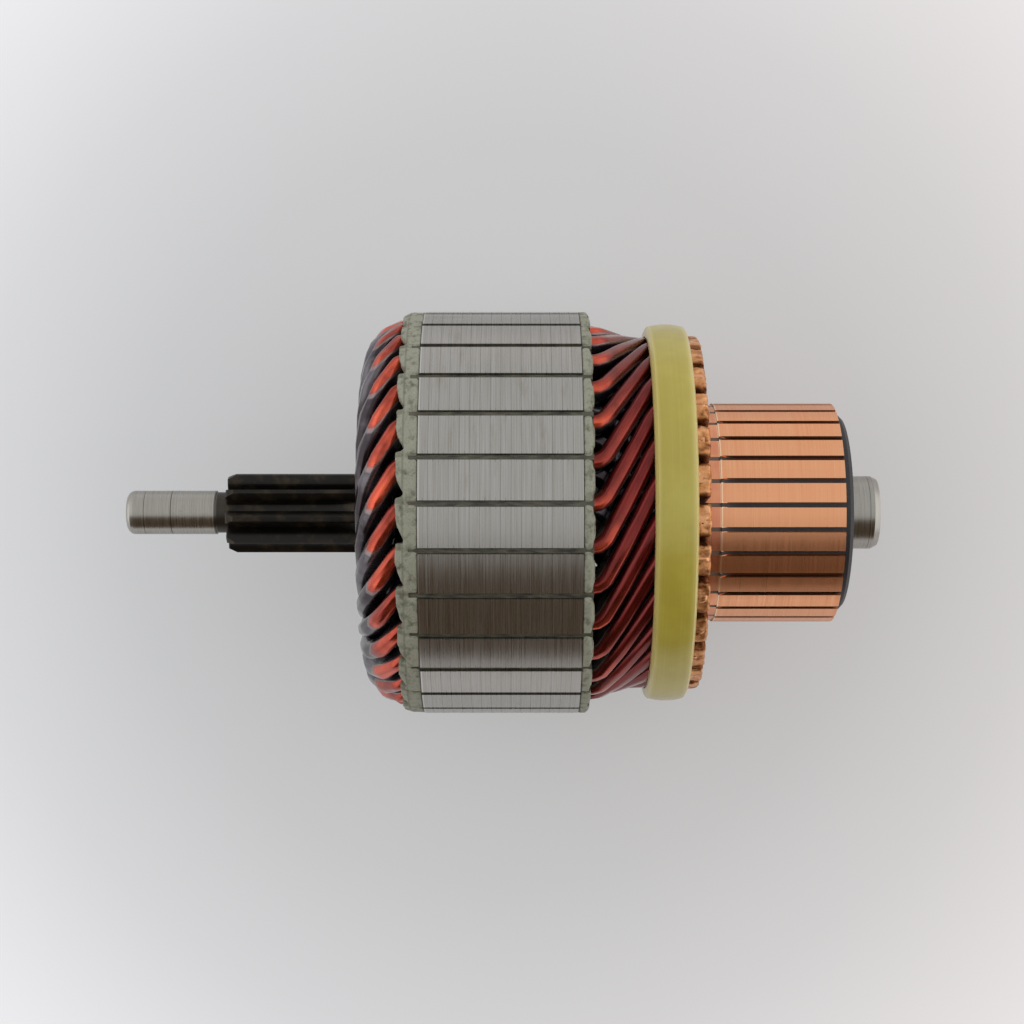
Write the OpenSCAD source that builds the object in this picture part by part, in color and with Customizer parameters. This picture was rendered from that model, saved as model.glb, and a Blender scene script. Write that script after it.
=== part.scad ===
// Armature of a small geared starter motor: a four-pole wave winding of hairpin
// coils in a laminated core, with a moulded commutator, on a shaft that carries
// the sun gear of the reduction stage. Millimetres. The shaft lies along X with
// the commutator at +X, and the origin is in the middle of the core.

/* [Core] */
// Outer diameter of the core
core_d = 55; // [52:0.5:58]
// Number of steel sheets in the core
sheet_count = 32; // [26:1:38]
// Pitch of the sheets in the stack
sheet_t = 0.65; // [0.5:0.05:0.8]
// Sheets that are bonded together into one packet
packet_sheets = 2; // [1:1:4]
// Varnish film between two packets
film_t = 0.02; // [0.01:0.01:0.04]
// Number of slots, which is also the number of coils and of bars
slot_count = 29; // [27:2:31]
// Angle of the first slot from straight up
slot_phase = -2.3; // [-6:0.1:6]
// Width of the slot's mouth at the rim
slot_mouth = 0.8; // [0.6:0.05:1.2]
// Thickness of a tooth's tip over the slot
tooth_tip = 1.55; // [1.3:0.05:1.8]
// Thickness of a tooth's tip at the slot's mouth
tooth_lip = 0.9; // [0.6:0.05:1.1]
// Depth of the balancing cut at the core's drive end
balance_depth = 0.2; // [0.1:0.05:0.4]
// Length of the balancing cut
balance_l = 7.4; // [4:0.2:10]
// Tooth that carries the balancing cut, counted from the first slot
balance_tooth = 23; // [1:1:25]

/* [Insulation] */
// Thickness of the insulating plate at the drive end
drive_plate_t = 1.68; // [1.2:0.02:2]
// Thickness of the insulating plate at the commutator end
comm_plate_t = 1.2; // [0.8:0.05:1.3]
// Thickness of the slot liner
liner_t = 0.25; // [0.15:0.01:0.3]
// Free play round the liner and round the conductors
slot_play = 0.04; // [0.02:0.01:0.08]
// Depth of the resin in the slot's mouth below the rim
mouth_fill_depth = 0.35; // [0.2:0.05:0.6]
// Reach of the liner cuffs past the drive end plate
cuff_reach = 1.15; // [0.8:0.05:1.3]
// Reach of the collar past the commutator end plate
collar_reach = 0.3; // [0.2:0.05:0.5]

/* [Conductors] */
// Width of the coil wire
wire_w = 2; // [1.8:0.05:2.05]
// Height of the coil wire
wire_h = 3.1; // [2.8:0.05:3.2]
// Rounding of the wire's corners
wire_round = 0.55; // [0.3:0.05:0.8]
// Gap between the top and the bottom layer
layer_gap = 0.3; // [0.25:0.05:0.4]
// Distance that the heads keep between neighbouring wires
lay_gap = 0.2; // [0.15:0.01:0.25]

/* [Drive end winding head] */
// Bend radius of the top layer over the shoulder
shoulder_r = 3.9; // [3.5:0.1:4.2]
// Radius from the shaft at which the wire starts to turn back at its nose
nose_r = 12.2; // [12:0.1:12.8]
// Air between the head and the drive end plate
head_air = 0.12; // [0.1:0.02:0.3]

/* [Commutator end winding head] */
// Length of the head from the plate to the risers
head_l = 12.6; // [12:0.2:15]
// Length over which the conductors come down from the slots to the risers
head_drop_l = 5.8; // [5:0.2:7]
// Radius by which the conductors come down
head_drop = 1.55; // [1.3:0.05:1.8]
// Angle that the top layer gains on its way to the riser
top_lead = 44.9; // [42:0.1:47]

/* [Glass band] */
// Width of the glass band
band_w = 5.5; // [4:0.1:6]
// Thickness of the glass band at its crown
band_t = 1.65; // [1.3:0.05:1.8]
// Distance from the band's edge to the risers' end face
band_back = 1.6; // [1.2:0.1:2.4]
// Radius of the band's rounded shoulders
band_round = 1.2; // [0.6:0.05:1.25]
// Radius across the band of its crowned face
band_crown_r = 9; // [7:0.5:14]

/* [Commutator] */
// Diameter of the brush track
track_d = 30; // [29:0.5:31]
// Length of the brush track
track_l = 16.3; // [14:0.1:18]
// Length of the neck between the risers and the track
neck_l = 2.2; // [1.6:0.1:3]
// Depth of the neck below the track
neck_step = 0.25; // [0.1:0.05:0.4]
// Thickness of the risers
riser_t = 2.4; // [2:0.1:3]
// Depth of the risers' rims below the outer face of the wires in them
riser_drop = 0.17; // [0.1:0.01:0.4]
// Thickness of the moulded webs between the bars
web_t = 0.55; // [0.4:0.05:0.7]
// Gap between two risers at their tips
riser_gap = 1.2; // [0.8:0.05:1.5]
// Width of the undercut between the bars
undercut_w = 0.7; // [0.6:0.05:0.8]
// Depth of the undercut below the track
undercut_depth = 0.7; // [0.4:0.05:0.8]
// Diameter of the undercutting saw
saw_d = 8; // [6:0.5:9]
// Depth of a bar from the track to its underside
bar_depth = 2.5; // [2.2:0.1:2.8]
// Height of the foot that anchors a bar
foot_h = 1; // [0.8:0.1:1.2]
// Reach of the foot under the bar
foot_reach = 1.7; // [1.4:0.1:2]
// Width of the leg between a bar and its foot
leg_w = 2.4; // [2:0.1:3]
// Length of the moulded end boss beyond the bars
boss_l = 1.3; // [1:0.1:2]
// Diameter of the moulded end boss
boss_d = 27; // [26:0.5:28]
// Thickness of the steel bush in the moulding
bush_t = 1.8; // [1.4:0.1:2.2]

/* [Shaft] */
// Diameter under the core
core_seat_d = 12; // [11.6:0.2:13]
// Diameter under the commutator
comm_seat_d = 11; // [10.6:0.1:11.4]
// Diameter of the rear journal
journal_d = 10; // [9:0.1:10.4]
// Length of the rear journal beyond the end boss
journal_l = 5.05; // [4:0.05:8]
// Chamfer on the rear journal's end
journal_chamfer = 0.8; // [0.4:0.1:1.2]
// Diameter of the drive end pilot
pilot_d = 6; // [5.6:0.1:6.2]
// Length of the drive end pilot
pilot_l = 12.25; // [10:0.05:16]
// Rounding of the pilot's end
pilot_round = 1; // [0.5:0.1:1.4]
// Diameter of the neck between the pilot and the gear
relief_d = 5.6; // [5.2:0.1:5.6]
// Length of that neck
relief_l = 1.7; // [1.2:0.1:2.5]
// Diameter of the centre holes
centre_d = 1.6; // [1.2:0.1:2]

/* [Sun gear] */
// Module of the gear
gear_module = 1; // [0.95:0.01:1.05]
// Number of teeth
gear_teeth = 9; // [9:1:10]
// Length of the full teeth
gear_l = 13.5; // [10:0.1:14]
// Angle of the first tooth from straight up
gear_phase = 9; // [0:1:40]
// Distance from the core's plate to the gear's end face
gear_reach = 25.4; // [24:0.1:27]
// Radius of the cutter that leaves the run-out
cutter_r = 12; // [10:0.5:16]
// Chamfer on the tooth ends, along the shaft
gear_chamfer_l = 1.1; // [0.6:0.1:1.5]
// Chamfer on the tooth ends, across the shaft
gear_chamfer_h = 0.5; // [0.3:0.1:0.8]

/* [Hidden] */
$fa = 4;
$fs = 0.4;
pitch = 360 / slot_count;
coil_names = [for (i = [1:slot_count]) str("coil_", i < 10 ? "0" : "", i)];

// Places along the shaft, from the drive end to the commutator end
core_l = sheet_count * sheet_t;
x_drive = -core_l / 2;
x_comm = core_l / 2;
x_drive_plate = x_drive - drive_plate_t;
x_comm_plate = x_comm + comm_plate_t;
x_riser = x_comm_plate + head_l;
x_riser_end = x_riser + riser_t;
x_track = x_riser_end + neck_l;
x_track_end = x_track + track_l;
x_boss_end = x_track_end + boss_l;
x_shaft_end = x_boss_end + journal_l;
x_gear = x_drive_plate - gear_reach;
x_pilot = x_gear - relief_l;
x_shaft_start = x_pilot - pilot_l;

// Slot stack, from the rim inwards
core_r = core_d / 2;
slot_top_r = core_r - tooth_tip;
liner_top_r = slot_top_r - slot_play;
cell_top_r = liner_top_r - liner_t;
top_r = cell_top_r - slot_play - wire_h / 2;
bottom_r = top_r - wire_h - layer_gap;
cell_bottom_r = bottom_r - wire_h / 2 - slot_play;
liner_bottom_r = cell_bottom_r - liner_t;
slot_bottom_r = liner_bottom_r - slot_play;
cell_w = wire_w + 2 * slot_play;
liner_w = cell_w + 2 * liner_t;
slot_w = liner_w + 2 * slot_play;

// Winding heads
coil_span = round(slot_count / 4);
cuff_root = 0.2;
cuff_air = 0.12;
cuff_below_rim = 0.35;
collar_below_rim = 0.6;
plate_play = 0.14;
x_liner_start = x_drive_plate + 0.5;
x_liner_end = x_comm_plate + 0.1;
x_comm_exit = x_comm_plate + collar_reach;
x_head_bottom = x_drive_plate - head_air - wire_h / 2;
x_head_top = x_head_bottom - wire_h - layer_gap;
nose_bend = (x_head_bottom - x_head_top) / 2;
bottom_lead = (slot_count - 1) / 2 * pitch - coil_span * pitch - top_lead;
riser_top_r = top_r - head_drop;
riser_bottom_r = bottom_r - head_drop;
wire_lead_in = 0.35;
wire_end_inset = 0.25;
out_bend_play = 0.1;
x_straight = x_riser - wire_lead_in;
x_wire_end = x_riser_end - wire_end_inset;
out_bend = wire_h / 2 + out_bend_play;
wire_edge = wire_h / 4;
comm_ease = 0.9 * wire_w;
over_ease = 0.6 * wire_w;
out_ease = 0.3 * wire_w;
lay_base_r = slot_count * (wire_w + lay_gap) / (2 * PI);

// Commutator
comm_phase = slot_phase - top_lead + pitch / 2;
track_r = track_d / 2;
neck_r = track_r - neck_step;
riser_r = riser_top_r + wire_h / 2 - riser_drop;
bar_in_r = track_r - bar_depth;
band_air = 0.1;
riser_chamfer = 0.3;
boss_chamfer = 0.5;
flange_t = 1;
flange_h = 1.6;
leg_h = 1.5;
foot_top_r = bar_in_r - leg_h;
foot_r = foot_top_r - foot_h;
ring_air = 0.15;
ring_out_r = bar_in_r - ring_air;
ring_in_r = foot_top_r + ring_air;
seat_r = comm_seat_d / 2;
bush_r = seat_r + bush_t;
riser_slot_r = riser_bottom_r - wire_h / 2 - slot_play;
web_root = 1;
riser_web_r = track_r + web_root;
flange_air = 2;
x_leg_a = x_riser + leg_w + flange_air;
x_leg_b = x_track_end - leg_w;
x_foot_a = x_leg_a + foot_reach;
x_foot_b = x_leg_b - foot_reach;
ring_w = foot_reach - 2 * ring_air;
bush_reach = 2.5;
bush_inset = 0.4;
x_bush = x_riser - bush_reach;
x_bush_end = x_boss_end - bush_inset;

// Gear
gear_pitch_r = gear_module * gear_teeth / 2;
gear_tip_r = gear_pitch_r + gear_module;
gear_root_r = gear_pitch_r - 1.25 * gear_module;
pressure_angle = 20;
gear_base_r = gear_pitch_r * cos(pressure_angle);
x_gear_end = x_gear + gear_l;

// Reach of the core's seat past the plates, and the length of a step in the shaft
seat_reach = 0.6;
seat_step = 0.3;

// ---- helpers ----

// Slides a flat shape, drawn in the YZ plane, from x0 to x1 along the shaft
module along_x(x0, x1) {
  translate([x0, 0, 0]) rotate([90, 0, 90]) linear_extrude(x1 - x0) children();
}

// Revolves a profile of [radius, x] points round the shaft
module turned() {
  rotate([0, 90, 0]) rotate_extrude() children();
}

// A plain ring round the shaft
module ring(r_in, r_out, x0, x1) {
  turned() translate([r_in, x0]) square([r_out - r_in, x1 - x0]);
}

// Repeats a shape at every slot pitch from the given angle
module every_pitch(phase) {
  for (i = [0:slot_count - 1])
    rotate([phase + i * pitch, 0, 0]) children();
}

function unit(v) = v / norm(v);
function ease(t) = let (u = min(1, max(0, t))) u * u * (3 - 2 * u);

// Running sums of a list, from 0 to its total
function sums(v) = [for (i = 0, s = 0; i <= len(v); s = s + (i < len(v) ? v[i] : 0), i = i + 1) s];

// Points [x, r] on an arc round [cx, cr] in the plane through the shaft
function arc_points(cx, cr, r, a0, a1, n) =
  [for (i = [0:n]) let (a = a0 + (a1 - a0) * i / n) [cx + r * cos(a), cr + r * sin(a)]];

// ---- core and insulation ----

// Outline of one slot with its mouth at the rim, pointing straight up, wider by the play
module slot_outline(play) {
  half = slot_w / 2 + play;
  mouth = slot_mouth / 2;
  polygon([
    [-half, slot_bottom_r - play], [half, slot_bottom_r - play], [half, slot_top_r],
    [mouth, core_r - tooth_lip], [mouth, core_r + 1], [-mouth, core_r + 1],
    [-mouth, core_r - tooth_lip], [-half, slot_top_r]]);
}

// Outline of one core sheet, or of an end plate whose slots have more play
module sheet_outline(play = 0) {
  difference() {
    circle(r = core_r);
    circle(d = core_seat_d);
    for (i = [0:slot_count - 1])
      rotate(slot_phase + i * pitch) slot_outline(play);
  }
}

// Shallow cut that a balancing cutter leaves on one tooth, deepest at the core's end
module balance_cut() {
  cut_r = 6;
  slope = atan(balance_depth / balance_l);
  rotate([slot_phase + (balance_tooth + 0.5) * pitch, 0, 0])
    translate([x_drive + balance_l, 0, core_r + cut_r])
      rotate([0, -90 - slope, 0])
        translate([0, 0, -2]) cylinder(r = cut_r, h = balance_l + 4);
}

module core_laminations() {
  color([0.55, 0.55, 0.55])
    difference() {
      for (i = [0:packet_sheets:sheet_count - 1])
        along_x(x_drive + i * sheet_t,
          x_drive + min(i + packet_sheets, sheet_count) * sheet_t - film_t) sheet_outline();
      balance_cut();
    }
}

// One liner cuff: it lies over the conductor where that leaves its slot and
// falls back towards the next slot
module cuff() {
  side = 2 * PI * core_r / slot_count;
  floor_r = cell_top_r + cuff_air;
  translate([x_drive_plate, 0, floor_r])
    linear_extrude(core_r - cuff_below_rim - floor_r)
      polygon([
        [cuff_root, 0.1 * side], [-0.85 * cuff_reach, 0.16 * side], [-cuff_reach, 0.1 * side],
        [-cuff_reach, -0.3 * side], [-0.75 * cuff_reach, -0.5 * side],
        [-0.25 * cuff_reach, -0.72 * side], [cuff_root, -0.74 * side]]);
}

module drive_end_insulator() {
  color([0.66, 0.68, 0.6])
    union() {
      along_x(x_drive_plate, x_drive - film_t) sheet_outline(plate_play);
      every_pitch(slot_phase) cuff();
    }
}

module commutator_end_insulator() {
  color([0.66, 0.68, 0.6])
    union() {
      along_x(x_comm, x_comm_plate) sheet_outline(plate_play);
      every_pitch(slot_phase + pitch / 2)
        translate([x_comm_plate - cuff_root, -slot_w / 2, slot_top_r])
          cube([collar_reach + cuff_root, slot_w, core_r - collar_below_rim - slot_top_r]);
    }
}

// One slot liner: a closed cell round both conductors, with resin in the mouth
module liner_outline() {
  mouth = slot_mouth / 2 - slot_play;
  difference() {
    polygon([
      [-liner_w / 2, liner_bottom_r], [liner_w / 2, liner_bottom_r],
      [liner_w / 2, liner_top_r], [mouth, core_r - tooth_lip - 1.5 * slot_play],
      [mouth, core_r - mouth_fill_depth], [-mouth, core_r - mouth_fill_depth],
      [-mouth, core_r - tooth_lip - 1.5 * slot_play], [-liner_w / 2, liner_top_r]]);
    translate([-cell_w / 2, cell_bottom_r]) square([cell_w, cell_top_r - cell_bottom_r]);
  }
}

module slot_liners() {
  color([0.6, 0.63, 0.52])
    every_pitch(slot_phase)
      along_x(x_liner_start, x_liner_end) liner_outline();
}

// ---- winding ----

// Turn per length at radius r that keeps neighbouring wires a constant distance apart
function lay_rate(r) = sqrt(max(0, r * r - lay_base_r * lay_base_r)) / (lay_base_r * r);

// The same for the inner edge of the wire, on a step of a path
function edge_rate(r, step) = lay_rate(r - wire_edge * abs(step[0]) / norm(step));

// Share of the turn that a bend of radius r leaves to the wire's inner edge
function bend_share(r) = (r - wire_edge) / r;

// Angle round the shaft at each point of a path, from 0 to total, easing in and out.
// Each step of the path takes its share of the turn
function lay_angles(path, shares, total, ease_in, ease_out) =
  let (
    steps = [for (i = [1:len(path) - 1]) path[i] - path[i - 1]],
    way = sums([for (s = steps) norm(s)]),
    eased = [for (w = way) ease(w / ease_in) * ease((way[len(steps)] - w) / ease_out)],
    turn = sums([for (i = [0:len(steps) - 1])
      shares[i] * norm(steps[i]) * (eased[i] * edge_rate(path[i][1], steps[i])
        + eased[i + 1] * edge_rate(path[i + 1][1], steps[i])) / 2]))
  [for (t = turn) t * total / turn[len(steps)]];

// Commutator end: [x, r, angle] from the slot's exit, past stations given as fractions of
// the way, to the wire's end in its riser
function comm_path(slot_r, riser_r, lead, stations) =
  let (
    path = [for (f = concat([0], stations, [1]))
      let (x = x_comm_exit + f * (x_straight - x_comm_exit))
        [x, slot_r + (riser_r - slot_r) * ease((x - x_comm_exit) / head_drop_l)]],
    angles = lay_angles(path, [for (p = path) 1], lead, comm_ease, comm_ease))
  concat([for (i = [0:len(path) - 1]) concat(path[i], angles[i])], [[x_wire_end, riser_r, lead]]);

// Drive end: [x, r, angle] from the top of the first slot over the shoulder, in along
// the face, back at the nose and out to the bottom of the last slot
function drive_path(lead) =
  let (
    thirds = [1 / 3, 2 / 3],
    shoulder_end_r = top_r - shoulder_r,
    face_end_r = bottom_r - out_bend,
    path = concat(
      [[x_drive_plate, top_r]],
      arc_points(x_head_top + shoulder_r, shoulder_end_r, shoulder_r, 90, 180, 3),
      [for (f = thirds) [x_head_top, shoulder_end_r + f * (nose_r - shoulder_end_r)]],
      arc_points(x_head_top + nose_bend, nose_r, nose_bend, 180, 360, 2),
      [for (f = thirds) [x_head_bottom, nose_r + f * (face_end_r - nose_r)]],
      arc_points(x_head_bottom + out_bend, face_end_r, out_bend, 180, 90, 1)),
    over = bend_share(shoulder_r),
    shares = [1, over, over, over, 1, 1, 1, 0, 0, 1, 1, 1, 0.3 * bend_share(out_bend)],
    angles = lay_angles(path, shares, lead, over_ease, out_ease))
  [for (i = [0:len(path) - 1]) concat(path[i], angles[i])];

// Whole coil, riser to riser
function coil_path() =
  let (
    top = comm_path(top_r, riser_top_r, -top_lead, [0.1, 0.3, 0.6, 0.88]),
    span = coil_span * pitch,
    bottom = comm_path(bottom_r, riser_bottom_r, bottom_lead, [0.3, 0.88]))
  concat(
    [for (i = [len(top) - 1:-1:0]) top[i]],
    drive_path(span),
    [for (p = bottom) [p[0], p[1], span + p[2]]]);

function in_space(p) = [p[0], -p[1] * sin(p[2]), p[1] * cos(p[2])];

// Direction along a list of points at point i
function heading(v, i) =
  unit((i > 0 ? unit(v[i] - v[i - 1]) : [0, 0, 0])
    + (i < len(v) - 1 ? unit(v[i + 1] - v[i]) : [0, 0, 0]));

// Side of the wire that faces away from the layer's surface, at point i
function wire_normal(path, i) =
  let (
    flat = [for (p = path) [p[0], p[1], 0]],
    d = heading(flat, i),
    a = path[i][2])
  [d[1], d[0] * sin(a), -d[0] * cos(a)];

// Wire section as [across, outwards] points, corners cut
wire_section = let (a = wire_w / 2, b = wire_h / 2, c = wire_round) [
  [a, b - c], [a - c, b], [c - a, b], [-a, b - c],
  [-a, c - b], [c - a, -b], [a - c, -b], [a, c - b]];

module coil(index) {
  path = coil_path();
  line = [for (p = path) in_space(p)];
  sides = len(wire_section);
  rings = len(path);
  points = [for (i = [0:rings - 1])
    let (along = heading(line, i), out = wire_normal(path, i), across = unit(cross(along, out)))
      for (s = wire_section) line[i] + s[0] * across + s[1] * out];
  walls = [for (i = [0:rings - 2], k = [0:sides - 1])
    let (j = (k + 1) % sides)
      [i * sides + k, i * sides + j, (i + 1) * sides + j, (i + 1) * sides + k]];
  ends = [
    [for (k = [sides - 1:-1:0]) k],
    [for (k = [0:sides - 1]) (rings - 1) * sides + k]];
  color([0.42, 0.06, 0.05])
    rotate([slot_phase + (index - 1) * pitch, 0, 0])
      polyhedron(points, concat(walls, ends), convexity = 6);
}

module glass_band() {
  r_in = riser_top_r + wire_h / 2 + band_air;
  r_out = r_in + band_t;
  x1 = x_riser_end - band_back;
  x0 = x1 - band_w;
  color([0.68, 0.64, 0.3])
    turned()
      intersection() {
        translate([r_in, x0]) square([band_t, band_w]);
        translate([r_out - band_crown_r, (x0 + x1) / 2]) circle(r = band_crown_r);
        union() {
          translate([r_in, x0]) square([band_t - band_round, band_w]);
          translate([r_in, x0 + band_round]) square([band_t, band_w - 2 * band_round]);
          for (x = [x0 + band_round, x1 - band_round])
            translate([r_out - band_round, x]) circle(r = band_round);
        }
      }
}

// ---- commutator ----

// Section of the copper ring that the bars are cut from, as [radius, x]
module bar_profile() {
  polygon([
    [riser_r, x_riser], [riser_r, x_riser_end - riser_chamfer],
    [riser_r - riser_chamfer, x_riser_end],
    [neck_r, x_riser_end], [neck_r, x_track], [track_r, x_track],
    [track_r, x_track_end], [foot_r, x_track_end],
    [foot_r, x_foot_b], [foot_top_r, x_foot_b], [foot_top_r, x_leg_b], [bar_in_r, x_leg_b],
    [bar_in_r, x_leg_a], [foot_top_r, x_leg_a], [foot_top_r, x_foot_a], [foot_r, x_foot_a],
    [foot_r, x_riser]]);
}

module bar_gap_outline() {
  polygon([
    [-web_t / 2, foot_r - 1], [web_t / 2, foot_r - 1], [web_t / 2, riser_web_r],
    [riser_gap / 2, riser_r], [riser_gap / 2, riser_r + 1],
    [-riser_gap / 2, riser_r + 1], [-riser_gap / 2, riser_r], [-web_t / 2, riser_web_r]]);
}

// Cut of the undercutting saw between two bars, with its run-out at the neck
module undercut() {
  floor_r = track_r - undercut_depth;
  saw_r = saw_d / 2;
  x_full = x_track + 0.1 + sqrt(saw_r * saw_r - pow(saw_r - undercut_depth, 2));
  translate([x_full, -undercut_w / 2, floor_r])
    cube([x_boss_end - x_full, undercut_w, undercut_depth + 1]);
  translate([x_full, undercut_w / 2, floor_r + saw_r])
    rotate([90, 0, 0]) cylinder(r = saw_r, h = undercut_w);
}

module commutator_bars() {
  color([0.8, 0.48, 0.33])
    difference() {
      turned() bar_profile();
      every_pitch(comm_phase) along_x(x_riser - 1, x_track_end + 1) bar_gap_outline();
      every_pitch(comm_phase) undercut();
      every_pitch(comm_phase + pitch / 2)
        translate([x_riser - 1, -cell_w / 2, riser_slot_r])
          cube([riser_t + 2, cell_w, riser_r]);
    }
}

// Webs of the moulding between the bars
module webs() {
  intersection() {
    turned() difference() {
      bar_profile();
      translate([riser_web_r, x_riser - 1]) square([riser_r, riser_t + 2]);
    }
    every_pitch(comm_phase) along_x(x_riser - 1, x_track_end + 1) bar_gap_outline();
  }
}

// Glass rings over the bars' feet, which hold the bars in at speed
module riser_side_ring() {
  color([0.75, 0.74, 0.6])
    ring(ring_in_r, ring_out_r, x_foot_a - ring_w, x_foot_a);
}

module boss_side_ring() {
  color([0.75, 0.74, 0.6])
    ring(ring_in_r, ring_out_r, x_foot_b, x_foot_b + ring_w);
}

module commutator_bush() {
  color([0.5, 0.5, 0.52])
    ring(seat_r, bush_r, x_bush, x_bush_end);
}

module commutator_moulding() {
  boss_r = boss_d / 2;
  color([0.1, 0.1, 0.11])
    difference() {
      union() {
        webs();
        turned() difference() {
          polygon([
            [bush_r, x_riser - flange_t], [foot_r + flange_h / 2, x_riser - flange_t],
            [foot_r + flange_h, x_riser], [bar_in_r, x_riser], [bar_in_r, x_track_end],
            [boss_r, x_track_end], [boss_r, x_boss_end - boss_chamfer],
            [boss_r - boss_chamfer, x_boss_end], [bush_r, x_boss_end]]);
          bar_profile();
        }
      }
      every_pitch(comm_phase) undercut();
      riser_side_ring();
      boss_side_ring();
    }
}

// ---- shaft ----

function involute(a) = tan(a) - a * PI / 180;

// Angle from the middle of a tooth gap to its flank at radius r
function gap_angle(r) =
  let (a = acos(min(1, gear_base_r / r)))
  90 / gear_teeth - (involute(pressure_angle) - involute(a)) * 180 / PI;

// Gap between two teeth as [across, radius] points, open at the rim and at the floor
gap_points =
  let (
    steps = 6,
    rim_r = gear_tip_r + 0.05,
    flank = [for (i = [0:steps])
      let (r = gear_base_r + (rim_r - gear_base_r) * i / steps, a = gap_angle(r))
        [r * sin(a), r * cos(a)]],
    floor_a = 0.7 * gap_angle(gear_base_r),
    floor_r = gear_root_r - 0.5,
    right = concat(
      [[floor_r * sin(floor_a), floor_r * cos(floor_a)]], flank,
      [[flank[steps][0] + 0.3, rim_r + 0.8]]))
  concat(right, [for (i = [len(right) - 1:-1:0]) [-right[i][0], right[i][1]]]);

// What the gear cutter takes out: all the gaps, as deep as the cutter goes. It lifts
// out of the shaft on its own radius
module gear_cut() {
  intersection() {
    for (i = [0:gear_teeth - 1])
      rotate([gear_phase + (i + 0.5) * 360 / gear_teeth, 0, 0])
        along_x(x_gear - 1, x_gear_end + cutter_r) polygon(gap_points);
    turned() union() {
      translate([gear_root_r, x_gear - 2]) square([cutter_r, gear_l + 2]);
      translate([gear_root_r + cutter_r, x_gear_end]) circle(r = cutter_r);
    }
  }
}

module shaft_profile() {
  core_seat_r = core_seat_d / 2;
  journal_r = journal_d / 2;
  pilot_r = pilot_d / 2;
  c = centre_d / 2;
  x_neck = x_drive_plate - seat_reach;
  x_seat = x_comm_plate + seat_reach;
  polygon(concat(
    [[0, x_shaft_start + 3 * c], [c, x_shaft_start + 2.4 * c], [2 * c, x_shaft_start]],
    [for (a = [0:22.5:90])
      [pilot_r - pilot_round + pilot_round * sin(a), x_shaft_start + pilot_round * (1 - cos(a))]],
    [[pilot_r, x_pilot], [relief_d / 2, x_pilot], [relief_d / 2, x_gear],
     [gear_tip_r - gear_chamfer_h, x_gear], [gear_tip_r, x_gear + gear_chamfer_l],
     [gear_tip_r, x_neck], [core_seat_r, x_neck],
     [core_seat_r, x_seat - seat_step], [seat_r, x_seat],
     [seat_r, x_boss_end - seat_step], [journal_r, x_boss_end],
     [journal_r, x_shaft_end - journal_chamfer],
     [journal_r - journal_chamfer / 2, x_shaft_end], [2 * c, x_shaft_end],
     [c, x_shaft_end - 2.4 * c], [0, x_shaft_end - 3 * c]]));
}

module shaft() {
  color([0.45, 0.45, 0.45])
    difference() {
      turned() shaft_profile();
      gear_cut();
    }
}

shaft();
core_laminations();
drive_end_insulator();
commutator_end_insulator();
slot_liners();
for (i = [1:slot_count])
  coil(i);
glass_band();
commutator_bars();
commutator_moulding();
commutator_bush();
riser_side_ring();
boss_side_ring();
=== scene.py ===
"""Dresses the armature of a small geared starter motor for its render and export.

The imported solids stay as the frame. The winding, the two insulating end plates and the
brazed riser heads are modelled here as softer forms round them, and every solid that
stays on show gets a finish of its own.
"""

import logging
import math
import random
from dataclasses import dataclass, field
from enum import Enum

import bpy
from mathutils import Matrix, Vector

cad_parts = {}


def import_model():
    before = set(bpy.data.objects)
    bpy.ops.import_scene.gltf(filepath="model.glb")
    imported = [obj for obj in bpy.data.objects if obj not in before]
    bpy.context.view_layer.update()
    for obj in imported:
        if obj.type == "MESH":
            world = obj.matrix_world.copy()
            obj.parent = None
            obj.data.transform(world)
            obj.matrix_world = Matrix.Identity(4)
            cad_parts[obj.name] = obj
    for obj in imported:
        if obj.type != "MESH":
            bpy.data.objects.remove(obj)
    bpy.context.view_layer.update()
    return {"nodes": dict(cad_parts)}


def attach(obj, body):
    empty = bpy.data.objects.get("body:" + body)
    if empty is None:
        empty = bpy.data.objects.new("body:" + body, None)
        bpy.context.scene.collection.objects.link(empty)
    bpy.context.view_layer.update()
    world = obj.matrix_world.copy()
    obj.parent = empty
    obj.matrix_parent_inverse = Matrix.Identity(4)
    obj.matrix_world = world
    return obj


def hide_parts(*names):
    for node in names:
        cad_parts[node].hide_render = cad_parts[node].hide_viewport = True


LOG = logging.getLogger("armature")
MM = 0.001
ROOT = "root"

Feed = bpy.types.NodeSocket | float | tuple | None


# ---- the armature's own measures ----


@dataclass(frozen=True)
class Layout:
    """Places that the winding, the core and the commutator share, in millimetres and degrees."""

    pitch_count: int = 29
    slot_phase: float = -2.3
    bar_phase: float = -2.3 - 44.9
    sheet_pitch: float = 0.65
    drive_face: float = -10.4
    comm_face: float = 10.4
    band_start: float = 19.5
    band_end: float = 25.0
    riser_end: float = 26.6
    track_start: float = 28.8

    @property
    def pitch(self) -> float:
        """Angle between two slots, in degrees."""
        return 360.0 / self.pitch_count


LAYOUT = Layout()


class Slot(Enum):
    """Names of the record's material slots for the pieces' finishes; seat() takes one but does not use it.
    """

    SHAFT = "shaft_steel"
    CORE = "core_steel"
    END_PLATE = "end_plate"
    LINER = "slot_liner"
    ENAMEL = "enamelled_wire"
    BAND = "glass_band"
    COPPER = "copper"
    MOULDING = "moulding"
    BUSH = "bush_steel"
    RING = "ring_glass"


# ---- shader graph ----


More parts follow.
